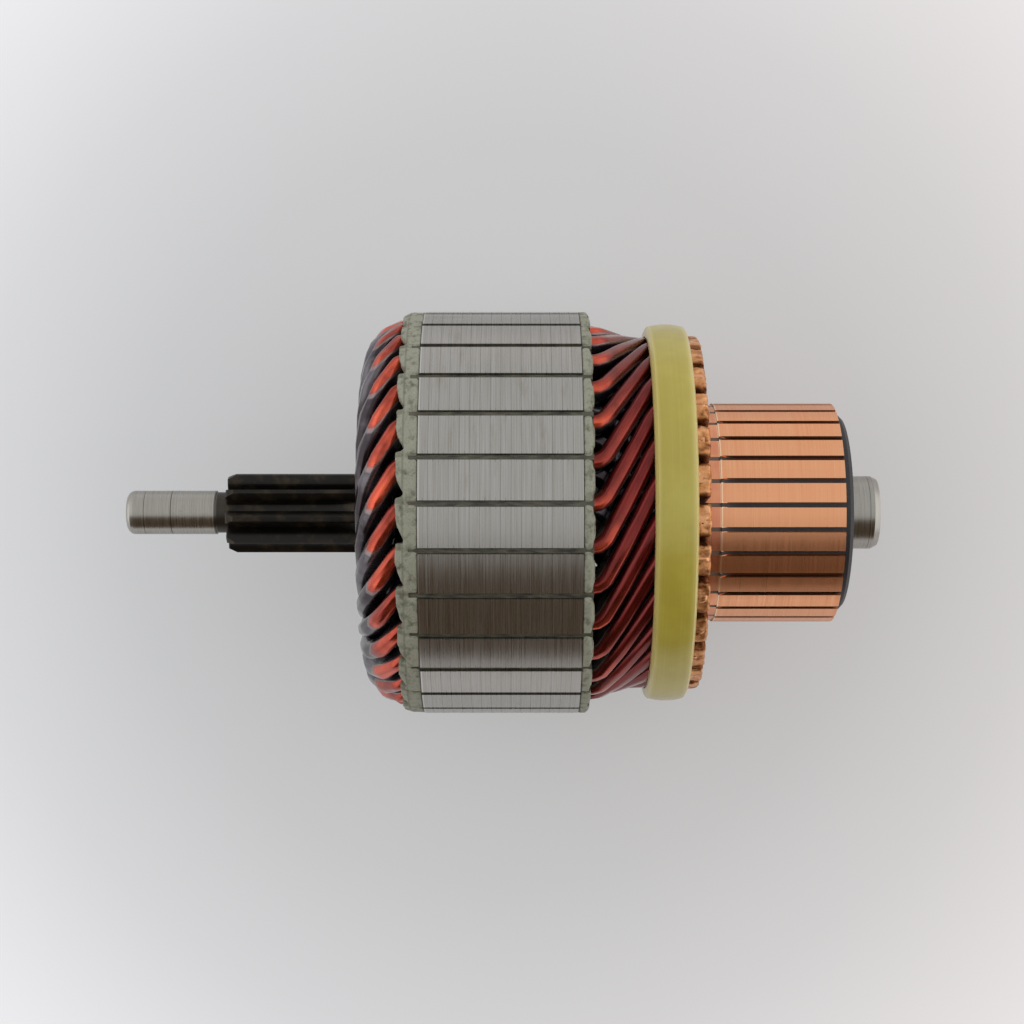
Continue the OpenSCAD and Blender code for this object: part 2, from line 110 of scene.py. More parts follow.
class Graph:
    """Builds the nodes of one shader tree."""

    def __init__(self, tree: bpy.types.NodeTree, place: str) -> None:
        """Empties a tree and reads a place in it.

        Args:
            tree: Tree to fill.
            place: Output of Texture Coordinate that the patterns read.
        """
        self.nodes = tree.nodes
        self.links = tree.links
        self.nodes.clear()
        self.place = self.nodes.new("ShaderNodeTexCoord").outputs[place]
        parts = self.nodes.new("ShaderNodeSeparateXYZ")
        self.links.new(self.place, parts.inputs[0])
        self.x, self.y, self.z = parts.outputs

    def feed(self, socket: bpy.types.NodeSocket, value: Feed) -> None:
        """Links a socket to another, or sets its value.

        Args:
            socket: Input to feed.
            value: Output to link, or a number or colour to set. None leaves it alone.
        """
        if value is None:
            return
        if isinstance(value, bpy.types.NodeSocket):
            self.links.new(value, socket)
        elif isinstance(value, tuple) and len(value) == 3 and socket.type == "RGBA":
            socket.default_value = (*value, 1.0)
        else:
            socket.default_value = value

    def math(self, operation: str, a: Feed, b: Feed = None, c: Feed = None) -> bpy.types.NodeSocket:
        """Adds one Math node.

        Args:
            operation: Blender's name of the operation.
            a: First input.
            b: Second input.
            c: Third input.

        Returns:
            The node's output.
        """
        node = self.nodes.new("ShaderNodeMath")
        node.operation = operation
        for socket, value in zip(node.inputs, (a, b, c)):
            self.feed(socket, value)
        return node.outputs[0]

    def span(
        self, value: Feed, low: float, high: float, start: float = 0.0, end: float = 1.0
    ) -> bpy.types.NodeSocket:
        """Maps a range onto another with smooth ends.

        Args:
            value: What is mapped.
            low: Input that gives start.
            high: Input that gives end.
            start: Output at low.
            end: Output at high.

        Returns:
            The mapped value.
        """
        node = self.nodes.new("ShaderNodeMapRange")
        node.interpolation_type = "SMOOTHSTEP"
        for socket, number in zip(node.inputs, (value, low, high, start, end)):
            self.feed(socket, number)
        return node.outputs[0]

    def window(self, value: Feed, low: float, high: float, edge: float) -> bpy.types.NodeSocket:
        """Makes a mask that is 1 between two values.

        Args:
            value: What is tested.
            low: Start of the window.
            high: End of the window.
            edge: Width of its soft edges.

        Returns:
            The mask.
        """
        rise = self.span(value, low - edge / 2, low + edge / 2)
        fall = self.span(value, high - edge / 2, high + edge / 2, 1.0, 0.0)
        return self.math("MULTIPLY", rise, fall)

    def stretched(self, along: float, across: float) -> bpy.types.NodeSocket:
        """Scales the place by one factor along the shaft and another across it.

        Args:
            along: Factor along the shaft.
            across: Factor across it.

        Returns:
            The scaled vector.
        """
        node = self.nodes.new("ShaderNodeMapping")
        self.links.new(self.place, node.inputs["Vector"])
        node.inputs["Scale"].default_value = (along, across, across)
        return node.outputs[0]

    def noise(
        self, scale: float, detail: float = 3.0, roughness: float = 0.55, vector: Feed = None
    ) -> bpy.types.NodeSocket:
        """Adds a noise pattern with values round one half.

        Args:
            scale: Cycles per metre.
            detail: Number of octaves.
            roughness: Share that each octave keeps.
            vector: Place that it reads, or None for the Object coordinates.

        Returns:
            The pattern's value.
        """
        node = self.nodes.new("ShaderNodeTexNoise")
        self.feed(node.inputs["Vector"], self.place if vector is None else vector)
        for name, value in (("Scale", scale), ("Detail", detail), ("Roughness", roughness)):
            node.inputs[name].default_value = value
        return node.outputs["Fac"]

    def cells(self, scale: float, vector: Feed = None) -> bpy.types.NodeSocket:
        """Adds a cell pattern.

        Args:
            scale: Cells per metre.
            vector: Place that it reads, or None for the Object coordinates.

        Returns:
            Distance from the nearest cell's middle.
        """
        node = self.nodes.new("ShaderNodeTexVoronoi")
        self.feed(node.inputs["Vector"], self.place if vector is None else vector)
        node.inputs["Scale"].default_value = scale
        return node.outputs["Distance"]

    def mark(self, name: str) -> bpy.types.NodeSocket:
        """Reads a number that the mesh carries at each point.

        Args:
            name: Name of the mesh attribute.

        Returns:
            The number.
        """
        node = self.nodes.new("ShaderNodeAttribute")
        node.attribute_name = name
        return node.outputs["Fac"]

    def vector(self, x: Feed, y: Feed, z: Feed) -> bpy.types.NodeSocket:
        """Joins three numbers into a vector.

        Args:
            x: First number.
            y: Second number.
            z: Third number.

        Returns:
            The vector.
        """
        node = self.nodes.new("ShaderNodeCombineXYZ")
        for socket, value in zip(node.inputs, (x, y, z)):
            self.feed(socket, value)
        return node.outputs[0]

    def distance(self, a: Feed, b: Feed) -> bpy.types.NodeSocket:
        """Finds how far a point is from a line, from two measures at right angles.

        Args:
            a: First measure.
            b: Second measure.

        Returns:
            The distance.
        """
        squares = self.math("ADD", self.math("MULTIPLY", a, a), self.math("MULTIPLY", b, b))
        return self.math("POWER", squares, 0.5)

    def scatter(self, value: Feed, seed: float = 0.0) -> bpy.types.NodeSocket:
        """Gives a random number from 0 to 1 for each value.

        Args:
            value: What is looked up.
            seed: Shift that makes the numbers differ from those of another call.

        Returns:
            The random number.
        """
        node = self.nodes.new("ShaderNodeTexWhiteNoise")
        node.noise_dimensions = "1D"
        self.feed(node.inputs["W"], self.math("ADD", value, seed))
        return node.outputs["Value"]

    def turn(self, phase: float) -> tuple[bpy.types.NodeSocket, bpy.types.NodeSocket]:
        """Counts the pitches round the shaft.

        Args:
            phase: Angle of the first pitch's start, in degrees.

        Returns:
            The pitch's number, and the share of the way through it.
        """
        back = self.math("MULTIPLY", self.y, -1.0)
        angle = self.math("ARCTAN2", back, self.z)
        shifted = self.math("SUBTRACT", angle, math.radians(phase) - 4 * math.pi)
        count = self.math("DIVIDE", shifted, math.radians(LAYOUT.pitch))
        number = self.math("FLOORED_MODULO", self.math("FLOOR", count), float(LAYOUT.pitch_count))
        return number, self.math("FRACT", count)

    def ramp(self, value: Feed, stops: list[tuple[float, tuple]]) -> bpy.types.NodeSocket:
        """Turns a value into a colour.

        Args:
            value: What is looked up.
            stops: Places from 0 to 1 with their colours.

        Returns:
            The colour.
        """
        node = self.nodes.new("ShaderNodeValToRGB")
        marks = node.color_ramp.elements
        while len(marks) < len(stops):
            marks.new(0.5)
        for mark, (at, colour) in zip(marks, stops):
            mark.position = at
            mark.color = (*colour, 1.0)
        self.feed(node.inputs[0], value)
        return node.outputs["Color"]

    def mix(self, share: Feed, a: Feed, b: Feed, blend: str = "MIX") -> bpy.types.NodeSocket:
        """Mixes two colours.

        Args:
            share: Share of the second colour.
            a: First colour.
            b: Second colour.
            blend: Blender's name of the way they mix.

        Returns:
            The mixed colour.
        """
        node = self.nodes.new("ShaderNodeMix")
        node.data_type = "RGBA"
        node.blend_type = blend
        self.feed(node.inputs[0], share)
        self.feed(node.inputs[6], a)
        self.feed(node.inputs[7], b)
        return node.outputs[2]

    def bump(
        self, height: Feed, depth: float, strength: float = 1.0, normal: Feed = None
    ) -> bpy.types.NodeSocket:
        """Adds a bump.

        Args:
            height: Pattern that rises and falls.
            depth: Height of the pattern in metres.
            strength: Share of the bump that shows.
            normal: Bump that this one lies on.

        Returns:
            The bumped normal.
        """
        node = self.nodes.new("ShaderNodeBump")
        node.inputs["Distance"].default_value = depth
        node.inputs["Strength"].default_value = strength
        self.feed(node.inputs["Height"], height)
        self.feed(node.inputs["Normal"], normal)
        return node.outputs[0]


class Surface(Graph):
    """Builds one procedural material round a Principled shader, on Object coordinates."""

    def __init__(self, name: str) -> None:
        """Starts the material.

        Args:
            name: Name of the material.
        """
        self.material = bpy.data.materials.new(name)
        self.material.use_nodes = True
        super().__init__(self.material.node_tree, "Object")
        self.shader = self.nodes.new("ShaderNodeBsdfPrincipled")
        self.output = self.nodes.new("ShaderNodeOutputMaterial")
        self.links.new(self.shader.outputs["BSDF"], self.output.inputs["Surface"])

    def set(self, **values: Feed) -> None:
        """Feeds inputs of the Principled shader.

        Args:
            **values: Input names with underscores for spaces, and what feeds them.
        """
        for name, value in values.items():
            self.feed(self.shader.inputs[name.replace("_", " ")], value)


def paint(red: int, green: int, blue: int) -> tuple[float, float, float]:
    """Turns a colour as a painter would name it, 0 to 255 a channel, into linear light.

    Args:
        red: Red channel.
        green: Green channel.
        blue: Blue channel.

    Returns:
        The colour in linear light.
    """
    shares = (red / 255, green / 255, blue / 255)
    return tuple(s / 12.92 if s <= 0.04045 else ((s + 0.055) / 1.055) ** 2.4 for s in shares)


# ---- finishes ----


@dataclass(frozen=True)
class CoreSteel:
    """Electrical steel sheets, turned on the rim after stacking."""

    light: tuple = paint(178, 177, 174)
    dark: tuple = paint(158, 155, 148)
    stain: tuple = paint(132, 120, 102)
    seam: tuple = paint(84, 76, 64)
    # bright: colour of the painted highlights on the slot lips and the drive-end edge
    bright: tuple = paint(226, 224, 218)

    def build(self) -> bpy.types.Material:
        """Makes the material.

        Returns:
            The material.
        """
        g = Surface("core_steel")
        rings = g.noise(1.0, 4.0, 0.7, g.stretched(9000.0, 90.0))
        broad = g.noise(1.0, 3.0, 0.6, g.stretched(700.0, 160.0))
        sheet = g.math("DIVIDE", g.x, LAYOUT.sheet_pitch * MM)
        tone = g.scatter(g.math("FLOOR", sheet), 3.0)
        joint = g.window(g.math("FRACT", g.math("ADD", sheet, 0.5)), 0.46, 0.54, 0.04)
        _, share = g.turn(LAYOUT.slot_phase)
        edge = g.math("ADD", g.window(share, 0.03, 0.105, 0.03), g.window(share, 0.875, 0.97, 0.04))
        ragged = g.span(g.noise(1.0, 2.0, 0.5, g.stretched(2600.0, 900.0)), 0.42, 0.6)
        burr = g.math("MULTIPLY", g.math("MULTIPLY", edge, joint), ragged)
        colour = g.mix(g.span(rings, 0.3, 0.7), self.dark, self.light)
        colour = g.mix(g.math("MULTIPLY", tone, 0.16), colour, self.dark)
        colour = g.mix(g.math("MULTIPLY", g.span(broad, 0.55, 0.8), 0.35), colour, self.stain)
        colour = g.mix(g.math("MULTIPLY", joint, 0.1), colour, self.seam)
        colour = g.mix(g.math("MULTIPLY", burr, 0.7), colour, self.seam)
        # Painted highlight: a pale line along one lip of each slot.
        lip_highlight = g.window(share, 0.935, 0.958, 0.008)
        colour = g.mix(g.math("MULTIPLY", lip_highlight, 0.55), colour, self.bright)
        # Painted highlight: a pale band along the core's drive-end edge.
        drive_edge_highlight = g.window(g.x, (LAYOUT.drive_face + 0.02) * MM, (LAYOUT.drive_face + 0.2) * MM, 0.06 * MM)
        colour = g.mix(g.math("MULTIPLY", drive_edge_highlight, 0.4), colour, self.bright)
        g.set(
            Base_Color=colour,
            Metallic=1.0,
            Roughness=g.span(rings, 0.25, 0.75, 0.24, 0.36),
            Normal=g.bump(rings, 0.006 * MM, 0.5),
        )
        return g.material


@dataclass(frozen=True)
class EndPlateBoard:
    """Pale insulating board with resin on it, rough and slightly green."""

    light: tuple = paint(146, 147, 130)
    dark: tuple = paint(84, 84, 66)
    glint: tuple = paint(196, 196, 180)

    def build(self) -> bpy.types.Material:
        """Makes the material.

        Returns:
            The material.
        """
        g = Surface("end_plate")
        patches = g.noise(900.0, 5.0, 0.65)
        grain = g.noise(5200.0, 2.0, 0.6)
        # The ramp's top stop, glint, is a painted highlight: pale specks of reflection on the board.
        colour = g.ramp(
            patches, [(0.3, self.dark), (0.5, self.light), (0.68, self.light), (0.78, self.glint)]
        )
        colour = g.mix(g.math("MULTIPLY", g.span(grain, 0.5, 0.8), 0.6), colour, self.dark)
        reach = g.math("MULTIPLY", g.x, -1.0)
        # Painted shade: a dark line in the crease between the cuffs and the strip.
        crease_shade = g.window(reach, 12.15 * MM, 12.4 * MM, 0.2 * MM)
        colour = g.mix(g.math("MULTIPLY", crease_shade, 0.5), colour, self.dark)
        _, share = g.turn(LAYOUT.slot_phase)
        # Painted shade: each cuff darker towards its lower edge.
        lobe_shade = g.math("MULTIPLY", g.span(reach, 12.3 * MM, 12.6 * MM), g.span(share, 0.45, 0.95))
        colour = g.mix(g.math("MULTIPLY", lobe_shade, 0.55), colour, self.dark)
        g.set(
            Base_Color=colour,
            Roughness=g.span(grain, 0.2, 0.8, 0.42, 0.7),
            Normal=g.bump(grain, 0.05 * MM, 0.6, g.bump(patches, 0.12 * MM, 0.7)),
        )
        return g.material


@dataclass(frozen=True)
class LinerPaper:
    """Slot liner and the resin that closes the slot mouths."""

    light: tuple = paint(96, 94, 78)
    dark: tuple = paint(34, 31, 25)

    def build(self) -> bpy.types.Material:
        """Makes the material.

        Returns:
            The material.
        """
        g = Surface("slot_liner")
        fibres = g.noise(1.0, 4.0, 0.6, g.stretched(600.0, 3000.0))
        g.set(
            Base_Color=g.ramp(fibres, [(0.3, self.dark), (0.7, self.light)]),
            Roughness=0.55,
            Normal=g.bump(fibres, 0.05 * MM, 0.7),
        )
        return g.material


@dataclass(frozen=True)
class WireEnamel:
    """Red enamel over copper, rich on the wire's outer face; its sides get painted shade with a painted
    bluish reflection, and some faces painted warm highlights.
    """

    deep: tuple = (0.05, 0.003, 0.003)
    red: tuple = (0.19, 0.011, 0.008)
    warm_highlight: tuple = (0.68, 0.1, 0.045)
    # side and steel: painted shade and a painted bluish reflection for the wire's sides.
    side: tuple = (0.03, 0.02, 0.025)
    steel: tuple = (0.12, 0.108, 0.12)
    bare: tuple = paint(222, 160, 112)

    def build(self) -> bpy.types.Material:
        """Makes the material.

        Returns:
            The material.
        """
        g = Surface("enamelled_wire")
        crown, across, way = g.mark("crown"), g.mark("across"), g.mark("way")
        drawn = g.vector(
            g.math("MULTIPLY", way, 120.0), g.math("MULTIPLY", across, 1.1), g.math("MULTIPLY", crown, 1.1)
        )
        streaks = g.noise(2.2, 4.0, 0.6, drawn)
        clouds = g.noise(190.0, 3.0, 0.6)
        face = g.span(crown, 0.5, 0.72)
        colour = g.ramp(streaks, [(0.25, self.deep), (0.6, self.red)])
        # Painted highlights: warm copper-coloured light on one side of the wires just past the commutator
        # end of the core, and on the drive-end nose.
        exit_highlight = g.span(g.x, LAYOUT.comm_face * MM, 18.0 * MM, 1.0, 0.0)
        lit = g.math("MULTIPLY", exit_highlight, g.span(across, 0.35, -0.35))
        nose_highlight = g.math("MULTIPLY", g.span(g.x, -10.0 * MM, -17.0 * MM), g.span(across, -0.6, 0.5))
        lit = g.math("MAXIMUM", lit, nose_highlight)
        lit = g.math("MULTIPLY", lit, g.span(clouds, 0.3, 0.62, 0.25, 1.0))
        colour = g.mix(lit, colour, self.warm_highlight)
        # Painted shade and painted reflection: the wire's sides dark with a bluish sheen, the outer face
        # keeps its red.
        flank_shade_and_reflection = g.mix(g.span(clouds, 0.4, 0.62), self.side, self.steel)
        colour = g.mix(face, flank_shade_and_reflection, colour)
        # Painted highlight: a thin pale line along each wire's upper edges.
        edge_highlight = g.window(crown, 0.46, 0.6, 0.08)
        colour = g.mix(g.math("MULTIPLY", edge_highlight, 0.5), colour, (0.36, 0.27, 0.26))
        stripped = g.span(g.x, 24.3 * MM, 24.6 * MM)
        colour = g.mix(stripped, colour, self.bare)
        g.set(
            Base_Color=colour,
            Metallic=0.85,
            Roughness=g.span(streaks, 0.3, 0.7, 0.2, 0.34),
            Coat_Weight=0.5,
            Coat_Roughness=0.09,
            Coat_IOR=1.4,
            Normal=g.bump(streaks, 0.04 * MM, 0.3),
        )
        return g.material


@dataclass(frozen=True)
class GlassRoving:
    """Glass thread wound on and drowned in amber resin."""

    amber: tuple = paint(180, 167, 66)
    pale: tuple = paint(216, 200, 132)
    deep: tuple = paint(156, 138, 40)

    def build(self) -> bpy.types.Material:
        """Makes the material.

        Returns:
            The material.
        """
        g = Surface("glass_band")
        threads = g.noise(1.0, 3.0, 0.6, g.stretched(5200.0, 40.0))
        clouds = g.noise(160.0, 3.0, 0.55)
        low, high = LAYOUT.band_start * MM, LAYOUT.band_end * MM
        near_rim = g.span(g.x, low, low + 0.9 * MM, 1.0, 0.0)
        far_rim = g.span(g.x, high - 1.1 * MM, high, 0.0, 1.0)
        rim = g.math("ADD", near_rim, far_rim)
        colour = g.mix(g.span(clouds, 0.3, 0.7), self.amber, self.deep)
        colour = g.mix(0.45, self.amber, colour)
        colour = g.mix(g.math("MULTIPLY", g.span(threads, 0.45, 0.8), 0.1), colour, self.pale)
        colour = g.mix(g.math("MULTIPLY", rim, 0.7), colour, self.pale)
        g.set(
            Base_Color=colour,
            Roughness=0.38,
            Subsurface_Weight=0.25,
            Subsurface_Radius=(1.2 * MM, 0.9 * MM, 0.3 * MM),
            Subsurface_Scale=1.0,
            Coat_Weight=0.5,
            Coat_Roughness=0.16,
            Normal=g.bump(threads, 0.02 * MM, 0.5, g.bump(clouds, 0.25 * MM, 0.5)),
        )
        return g.material


@dataclass(frozen=True)
class BarCopper:
    """Commutator copper: turned on the track, browned at the risers."""

    light: tuple = paint(240, 178, 134)
    rose: tuple = paint(232, 160, 118)
    highlight_cream: tuple = paint(255, 226, 190)
    brown: tuple = paint(150, 92, 48)
    gap_shade: tuple = paint(60, 38, 24)
    neck: tuple = paint(222, 144, 112)

    def build(self) -> bpy.types.Material:
        """Makes the material.

        Returns:
            The material.
        """
        g = Surface("copper")
        turned = g.noise(1.0, 4.0, 0.7, g.stretched(7000.0, 60.0))
        clouds = g.noise(300.0, 4.0, 0.6)
        number, _ = g.turn(LAYOUT.bar_phase)
        tone = g.scatter(number, 11.0)
        colour = g.mix(g.span(turned, 0.3, 0.75), self.light, self.rose)
        colour = g.mix(g.math("MULTIPLY", tone, 0.3), colour, self.rose)
        specks = g.span(g.cells(1500.0), 0.05, 0.11, 1.0, 0.0)
        few = g.math("MULTIPLY", specks, g.span(g.noise(420.0, 2.0), 0.55, 0.62))
        colour = g.mix(g.math("MULTIPLY", few, 0.6), colour, self.brown)
        # Painted highlights: a pale line at the step onto the track, and pale lines along the edges of
        # each bar.
        step_highlight = g.window(g.x, (LAYOUT.track_start - 0.12) * MM, (LAYOUT.track_start + 0.16) * MM, 0.08 * MM)
        _, share = g.turn(LAYOUT.bar_phase + LAYOUT.pitch / 2)
        rim_highlights = g.math("ADD", g.window(share, 0.045, 0.075, 0.015), g.window(share, 0.925, 0.955, 0.015))
        shine = g.math("MAXIMUM", step_highlight, g.math("MULTIPLY", rim_highlights, 0.6))
        colour = g.mix(g.math("MULTIPLY", shine, 0.75), colour, self.highlight_cream)
        neck = g.window(g.x, (LAYOUT.riser_end + 0.6) * MM, (LAYOUT.track_start - 0.14) * MM, 0.2 * MM)
        colour = g.mix(g.math("MULTIPLY", neck, g.span(clouds, 0.35, 0.65, 0.3, 0.9)), colour, self.neck)
        heated = g.span(g.x, (LAYOUT.riser_end - 0.2) * MM, (LAYOUT.riser_end + 0.9) * MM, 1.0, 0.0)
        heated = g.math("MULTIPLY", heated, g.span(clouds, 0.2, 0.55, 0.6, 1.0))
        colour = g.mix(heated, colour, self.brown)
        # Painted shade: the copper darker deep down, below 14.6 mm from the axis, in the gaps between the
        # bars.
        deep_shade = g.span(g.distance(g.y, g.z), 14.55 * MM, 14.7 * MM, 1.0, 0.0)
        colour = g.mix(g.math("MULTIPLY", deep_shade, 0.75), colour, self.gap_shade)
        g.set(
            Base_Color=colour,
            Metallic=1.0,
            Roughness=g.span(turned, 0.25, 0.75, 0.26, 0.4),
            Normal=g.bump(turned, 0.012 * MM, 0.5),
        )
        return g.material


@dataclass(frozen=True)
class BrazedHead:
    """Riser heads after hot joining: lumpy copper with brown oxide and brass-coloured spots."""

    bright: tuple = paint(248, 190, 142)
    brown: tuple = paint(206, 142, 90)
    oxide: tuple = paint(112, 62, 30)

    def build(self) -> bpy.types.Material:
        """Makes the material.

        Returns:
            The material.
        """
        g = Surface("brazed_copper")
        clouds = g.noise(900.0, 4.0, 0.65)
        grains = g.noise(3600.0, 3.0, 0.6)
        colour = g.ramp(clouds, [(0.28, self.oxide), (0.48, self.brown), (0.72, self.bright)])
        colour = g.mix(g.math("MULTIPLY", g.span(grains, 0.55, 0.75), 0.5), colour, self.oxide)
        _, share = g.turn(LAYOUT.bar_phase)
        wander = g.math("ADD", share, g.span(clouds, 0.3, 0.7, -0.05, 0.05))
        middle = g.math("ADD", g.span(wander, 0.0, 0.03, 1.0, 0.0), g.span(wander, 0.97, 1.0))
        side = g.window(wander, 0.34, 0.66, 0.1)
        lines = g.math("MAXIMUM", g.math("MULTIPLY", middle, 0.6), side)
        colour = g.mix(g.math("MULTIPLY", lines, 0.85), colour, self.oxide)
        g.set(
            Base_Color=colour,
            Metallic=0.8,
            Roughness=g.span(grains, 0.2, 0.8, 0.28, 0.5),
            Normal=g.bump(grains, 0.06 * MM, 0.6, g.bump(clouds, 0.15 * MM, 0.6)),
        )
        return g.material


@dataclass(frozen=True)
class MouldedResin:
    """Black moulding compound with pale dust in its cut faces."""

    black: tuple = paint(42, 41, 44)
    grey: tuple = paint(92, 86, 82)

    def build(self) -> bpy.types.Material:
        """Makes the material.

        Returns:
            The material.
        """
        g = Surface("moulding")
        grain = g.noise(2600.0, 4.0, 0.65)
        dust = g.span(g.noise(5200.0, 2.0), 0.62, 0.72)
        colour = g.mix(g.math("MULTIPLY", dust, 0.6), self.black, self.grey)
        neck = g.window(g.x, LAYOUT.riser_end * MM, LAYOUT.track_start * MM, 0.1 * MM)
        colour = g.mix(g.math("MULTIPLY", neck, 0.8), colour, paint(120, 104, 88))
        g.set(Base_Color=colour, Roughness=0.5, Normal=g.bump(grain, 0.04 * MM, 0.5))
        return g.material


@dataclass(frozen=True)
class ShaftSteel:
    """Ground journal and pilot, and the hardened gear that has gone dark with grease."""

    ground: tuple = paint(170, 168, 162)
    shade: tuple = paint(152, 148, 140)
    stain: tuple = paint(112, 96, 74)
    black: tuple = paint(24, 21, 18)
    olive: tuple = paint(60, 50, 32)
    grooves: tuple = ((-45.29, -45.13), (-48.95, -48.85), (50.0, 50.1))
    gear_span: tuple = (-39.0, -10.0)
    neck_span: tuple = (-39.35, -37.3)

    def build(self) -> bpy.types.Material:
        """Makes the material.

        Returns:
            The material.
        """
        g = Surface("shaft_steel")
        rings = g.noise(1.0, 4.0, 0.7, g.stretched(8000.0, 120.0))
        clouds = g.noise(420.0, 4.0, 0.6)
        fine = g.noise(3200.0, 3.0, 0.6)
        steel = g.mix(g.span(rings, 0.3, 0.7), self.shade, self.ground)
        steel = g.mix(g.math("MULTIPLY", g.span(clouds, 0.58, 0.8), 0.35), steel, self.stain)
        # Painted shade: each groove drawn as a dark line in black, which is also the grease colour.
        groove_shade: Feed = 0.0
        for start, end in self.grooves:
            groove_shade = g.math("ADD", groove_shade, g.window(g.x, start * MM, end * MM, 0.05 * MM))
        steel = g.mix(g.math("MULTIPLY", groove_shade, 0.6), steel, self.black)
        greasy = g.mix(g.math("MULTIPLY", g.span(clouds, 0.45, 0.7), 0.8), self.black, self.olive)
        dark = g.window(g.x, self.gear_span[0] * MM, self.gear_span[1] * MM, 0.25 * MM)
        neck = g.window(g.x, self.neck_span[0] * MM, self.neck_span[1] * MM, 0.15 * MM)
        colour = g.mix(dark, steel, greasy)
        colour = g.mix(g.math("MULTIPLY", neck, 0.7), colour, paint(64, 58, 50))
        g.set(
            Base_Color=colour,
            Metallic=g.span(dark, 0.0, 1.0, 1.0, 0.55),
            Roughness=g.math("ADD", g.span(rings, 0.25, 0.75, 0.24, 0.36), g.math("MULTIPLY", dark, 0.08)),
            Normal=g.bump(fine, 0.01 * MM, 0.4, g.bump(rings, 0.004 * MM, 0.4)),
        )
        return g.material


@dataclass(frozen=True)
class InnerSteel:
    """Plain turned steel of the bush inside the commutator."""

    grey: tuple = paint(120, 118, 112)

    def build(self) -> bpy.types.Material:
        """Makes the material.

        Returns:
            The material.
        """
        g = Surface("bush_steel")
        rings = g.noise(1.0, 3.0, 0.6, g.stretched(6000.0, 80.0))
        g.set(
            Base_Color=g.mix(g.span(rings, 0.3, 0.7), self.grey, paint(96, 92, 86)),
            Metallic=1.0,
            Roughness=0.4,
            Normal=g.bump(rings, 0.01 * MM, 0.5),
        )
        return g.material


@dataclass(frozen=True)
class RingGlass:
    """Wound glass of the two rings that hold the bars' feet."""

    straw: tuple = paint(190, 180, 140)

    def build(self) -> bpy.types.Material:
        """Makes the material.

        Returns:
            The material.
        """
        g = Surface("ring_glass")
        threads = g.noise(1.0, 3.0, 0.6, g.stretched(5200.0, 60.0))
        g.set(
            Base_Color=g.mix(g.span(threads, 0.3, 0.7), self.straw, paint(160, 148, 104)),
            Roughness=0.45,
            Normal=g.bump(threads, 0.02 * MM, 0.5),
        )
        return g.material


# ---- making pieces ----


def select_only(piece: bpy.types.Object) -> None:
    """Makes one object the active and only selected one.

    Args:
        piece: Object to select.
    """
    if bpy.context.object and bpy.context.object.mode != "OBJECT":
        bpy.ops.object.mode_set(mode="OBJECT")
    bpy.ops.object.select_all(action="DESELECT")
    piece.hide_set(False)
    piece.select_set(True)
    bpy.context.view_layer.objects.active = piece


def apply_modifier(piece: bpy.types.Object, kind: str, **settings: object) -> None:
    """Adds a modifier, sets it up and applies it.

    Args:
        piece: Object that gets it.
        kind: Blender's name of the modifier type.
        **settings: Properties of the modifier.
    """
    select_only(piece)
    modifier = piece.modifiers.new(kind.title(), kind)
    for name, value in settings.items():
        setattr(modifier, name, value)
    bpy.ops.object.modifier_apply(modifier=modifier.name)


def copy_of(source: bpy.types.Object, name: str) -> bpy.types.Object:
    """Copies an object with a mesh of its own.

    Args:
        source: Object to copy.
        name: Name of the copy.

    Returns:
        The copy, with no parent and no tags of its source.
    """
    piece = source.copy()
    piece.data = source.data.copy()
    piece.name = name
    piece.data.name = name
    piece.parent = None
    for tag in [key for key in piece.keys() if key.startswith("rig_")]:
        del piece[tag]
    piece.matrix_world = Matrix.Identity(4)
    piece.hide_render = False
    piece.hide_viewport = False
    bpy.context.scene.collection.objects.link(piece)
    return piece


def merged_copy(node: bpy.types.Object, name: str) -> bpy.types.Object:
    """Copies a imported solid's mesh and merges its loose triangles.

    Args:
        node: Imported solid.
        name: Name of the copy.

    Returns:
        The copy, as one joined mesh.
    """
    piece = copy_of(node, name)
    select_only(piece)
    bpy.ops.object.mode_set(mode="EDIT")
    bpy.ops.mesh.select_all(action="SELECT")
    bpy.ops.mesh.remove_doubles(threshold=0.002 * MM)
    bpy.ops.mesh.customdata_custom_splitnormals_clear()
    bpy.ops.object.mode_set(mode="OBJECT")
    return piece


def dress(piece: bpy.types.Object, material: bpy.types.Material) -> None:
    """Gives a piece one material all over.

    Args:
        piece: Object to dress.
        material: Its material.
    """
    piece.data.materials.clear()
    piece.data.materials.append(material)


def seat(piece: bpy.types.Object, slot: Slot, *replaced: str) -> None:
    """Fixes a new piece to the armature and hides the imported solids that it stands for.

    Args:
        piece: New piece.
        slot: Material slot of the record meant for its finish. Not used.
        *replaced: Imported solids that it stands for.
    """
    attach(piece, ROOT)
    if replaced:
        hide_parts(*replaced)
    LOG.info("%s: %d faces", piece.name, len(piece.data.polygons))


def share_of(value: float, full: float) -> float:
    """Gives value as a share of full, held between 0 and 1."""
    return min(1.0, max(0.0, value / full))


def turned_about_shaft(piece: bpy.types.Object, degrees: float) -> None:
    """Turns a piece's mesh about the shaft.

    Args:
        piece: Piece whose mesh turns.
        degrees: Angle from +Z towards -Y.
    """
    piece.data.transform(Matrix.Rotation(math.radians(degrees), 4, "X"))
    piece.data.update()


# ---- sub-assemblies ----


